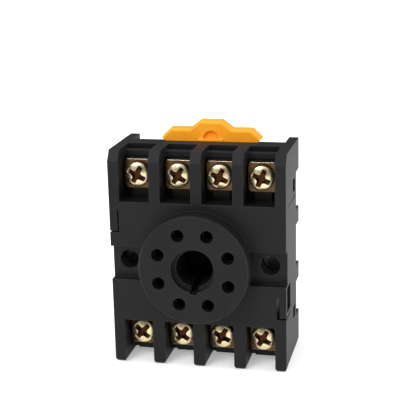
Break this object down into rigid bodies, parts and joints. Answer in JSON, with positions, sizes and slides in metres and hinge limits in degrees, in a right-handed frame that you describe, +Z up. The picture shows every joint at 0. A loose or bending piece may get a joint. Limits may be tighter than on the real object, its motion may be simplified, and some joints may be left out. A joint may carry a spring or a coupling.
{
  "type": "relay socket",
  "caption": "Screw-terminal socket for a round plug-in relay, with keyed centre hole, panel mounting holes and a rail channel with a sprung sliding latch.",
  "frame": {"origin": "bottom centre of the whole part's box: on the plane of the bottom end, halfway between the boss face and the back face", "axes": "+Z up along the rows' spacing, -Y out of the boss face towards the relay, +X to the right as seen from the front"},
  "size_m": [0.0408, 0.0244, 0.055],
  "materials": {
    "black_plastic": "moulded, fine satin",
    "base_plastic": "moulded, fine satin",
    "orange_plastic": "moulded, satin",
    "screw_steel": "yellow zinc plated",
    "washer_steel": "yellow zinc plated",
    "contact_brass": "stamped brass"
  },
  "bodies": {
    "socket": {"housing": "black_plastic", "rear_base": "base_plastic", "contact_1": "contact_brass", "contact_2": "contact_brass", "contact_3": "contact_brass", "contact_4": "contact_brass", "contact_5": "contact_brass", "contact_6": "contact_brass", "contact_7": "contact_brass", "contact_8": "contact_brass"},
    "latch": {"rail_latch": "orange_plastic"},
    "clamp_1": {"clamp_washer_1": "washer_steel"},
    "screw_1": {"terminal_screw_1": "screw_steel"},
    "clamp_2": {"clamp_washer_2": "washer_steel"},
    "screw_2": {"terminal_screw_2": "screw_steel"},
    "clamp_3": {"clamp_washer_3": "washer_steel"},
    "screw_3": {"terminal_screw_3": "screw_steel"},
    "clamp_4": {"clamp_washer_4": "washer_steel"},
    "screw_4": {"terminal_screw_4": "screw_steel"},
    "clamp_5": {"clamp_washer_5": "washer_steel"},
    "screw_5": {"terminal_screw_5": "screw_steel"},
    "clamp_6": {"clamp_washer_6": "washer_steel"},
    "screw_6": {"terminal_screw_6": "screw_steel"},
    "clamp_7": {"clamp_washer_7": "washer_steel"},
    "screw_7": {"terminal_screw_7": "screw_steel"},
    "clamp_8": {"clamp_washer_8": "washer_steel"},
    "screw_8": {"terminal_screw_8": "screw_steel"}
  },
  "joints": [
    {"name": "latch_slide", "type": "slide", "parent": "socket", "child": "latch", "axis": [0, 0, 1], "range_m": [0, 0.003], "stiffness_N_per_m": 2500},
    {"name": "clamp_1_lift", "type": "slide", "parent": "socket", "child": "clamp_1", "axis": [0, -1, 0], "range_m": [0, 0.003]},
    {"name": "screw_1_turn", "type": "hinge", "parent": "clamp_1", "child": "screw_1", "pos_m": [0.0048, -0.0021, 0.0068], "axis": [0, -1, 0], "range_deg": [0, 1800]},
    {"name": "clamp_2_lift", "type": "slide", "parent": "socket", "child": "clamp_2", "axis": [0, -1, 0], "range_m": [0, 0.003]},
    {"name": "screw_2_turn", "type": "hinge", "parent": "clamp_2", "child": "screw_2", "pos_m": [0.0144, -0.0021, 0.0068], "axis": [0, -1, 0], "range_deg": [0, 1800]},
    {"name": "clamp_3_lift", "type": "slide", "parent": "socket", "child": "clamp_3", "axis": [0, -1, 0], "range_m": [0, 0.003]},
    {"name": "screw_3_turn", "type": "hinge", "parent": "clamp_3", "child": "screw_3", "pos_m": [0.0144, -0.0021, 0.0449], "axis": [0, -1, 0], "range_deg": [0, 1800]},
    {"name": "clamp_4_lift", "type": "slide", "parent": "socket", "child": "clamp_4", "axis": [0, -1, 0], "range_m": [0, 0.003]},
    {"name": "screw_4_turn", "type": "hinge", "parent": "clamp_4", "child": "screw_4", "pos_m": [0.0048, -0.0021, 0.0449], "axis": [0, -1, 0], "range_deg": [0, 1800]},
    {"name": "clamp_5_lift", "type": "slide", "parent": "socket", "child": "clamp_5", "axis": [0, -1, 0], "range_m": [0, 0.003]},
    {"name": "screw_5_turn", "type": "hinge", "parent": "clamp_5", "child": "screw_5", "pos_m": [-0.0048, -0.0021, 0.0449], "axis": [0, -1, 0], "range_deg": [0, 1800]},
    {"name": "clamp_6_lift", "type": "slide", "parent": "socket", "child": "clamp_6", "axis": [0, -1, 0], "range_m": [0, 0.003]},
    {"name": "screw_6_turn", "type": "hinge", "parent": "clamp_6", "child": "screw_6", "pos_m": [-0.0144, -0.0021, 0.0449], "axis": [0, -1, 0], "range_deg": [0, 1800]},
    {"name": "clamp_7_lift", "type": "slide", "parent": "socket", "child": "clamp_7", "axis": [0, -1, 0], "range_m": [0, 0.003]},
    {"name": "screw_7_turn", "type": "hinge", "parent": "clamp_7", "child": "screw_7", "pos_m": [-0.0144, -0.0021, 0.0068], "axis": [0, -1, 0], "range_deg": [0, 1800]},
    {"name": "clamp_8_lift", "type": "slide", "parent": "socket", "child": "clamp_8", "axis": [0, -1, 0], "range_m": [0, 0.003]},
    {"name": "screw_8_turn", "type": "hinge", "parent": "clamp_8", "child": "screw_8", "pos_m": [-0.0048, -0.0021, 0.0068], "axis": [0, -1, 0], "range_deg": [0, 1800]}
  ],
  "couplings": [
    {"joint": "screw_1_turn", "follows": "clamp_1_lift", "rad_per_m": 10472},
    {"joint": "screw_2_turn", "follows": "clamp_2_lift", "rad_per_m": 10472},
    {"joint": "screw_3_turn", "follows": "clamp_3_lift", "rad_per_m": 10472},
    {"joint": "screw_4_turn", "follows": "clamp_4_lift", "rad_per_m": 10472},
    {"joint": "screw_5_turn", "follows": "clamp_5_lift", "rad_per_m": 10472},
    {"joint": "screw_6_turn", "follows": "clamp_6_lift", "rad_per_m": 10472},
    {"joint": "screw_7_turn", "follows": "clamp_7_lift", "rad_per_m": 10472},
    {"joint": "screw_8_turn", "follows": "clamp_8_lift", "rad_per_m": 10472}
  ]
}
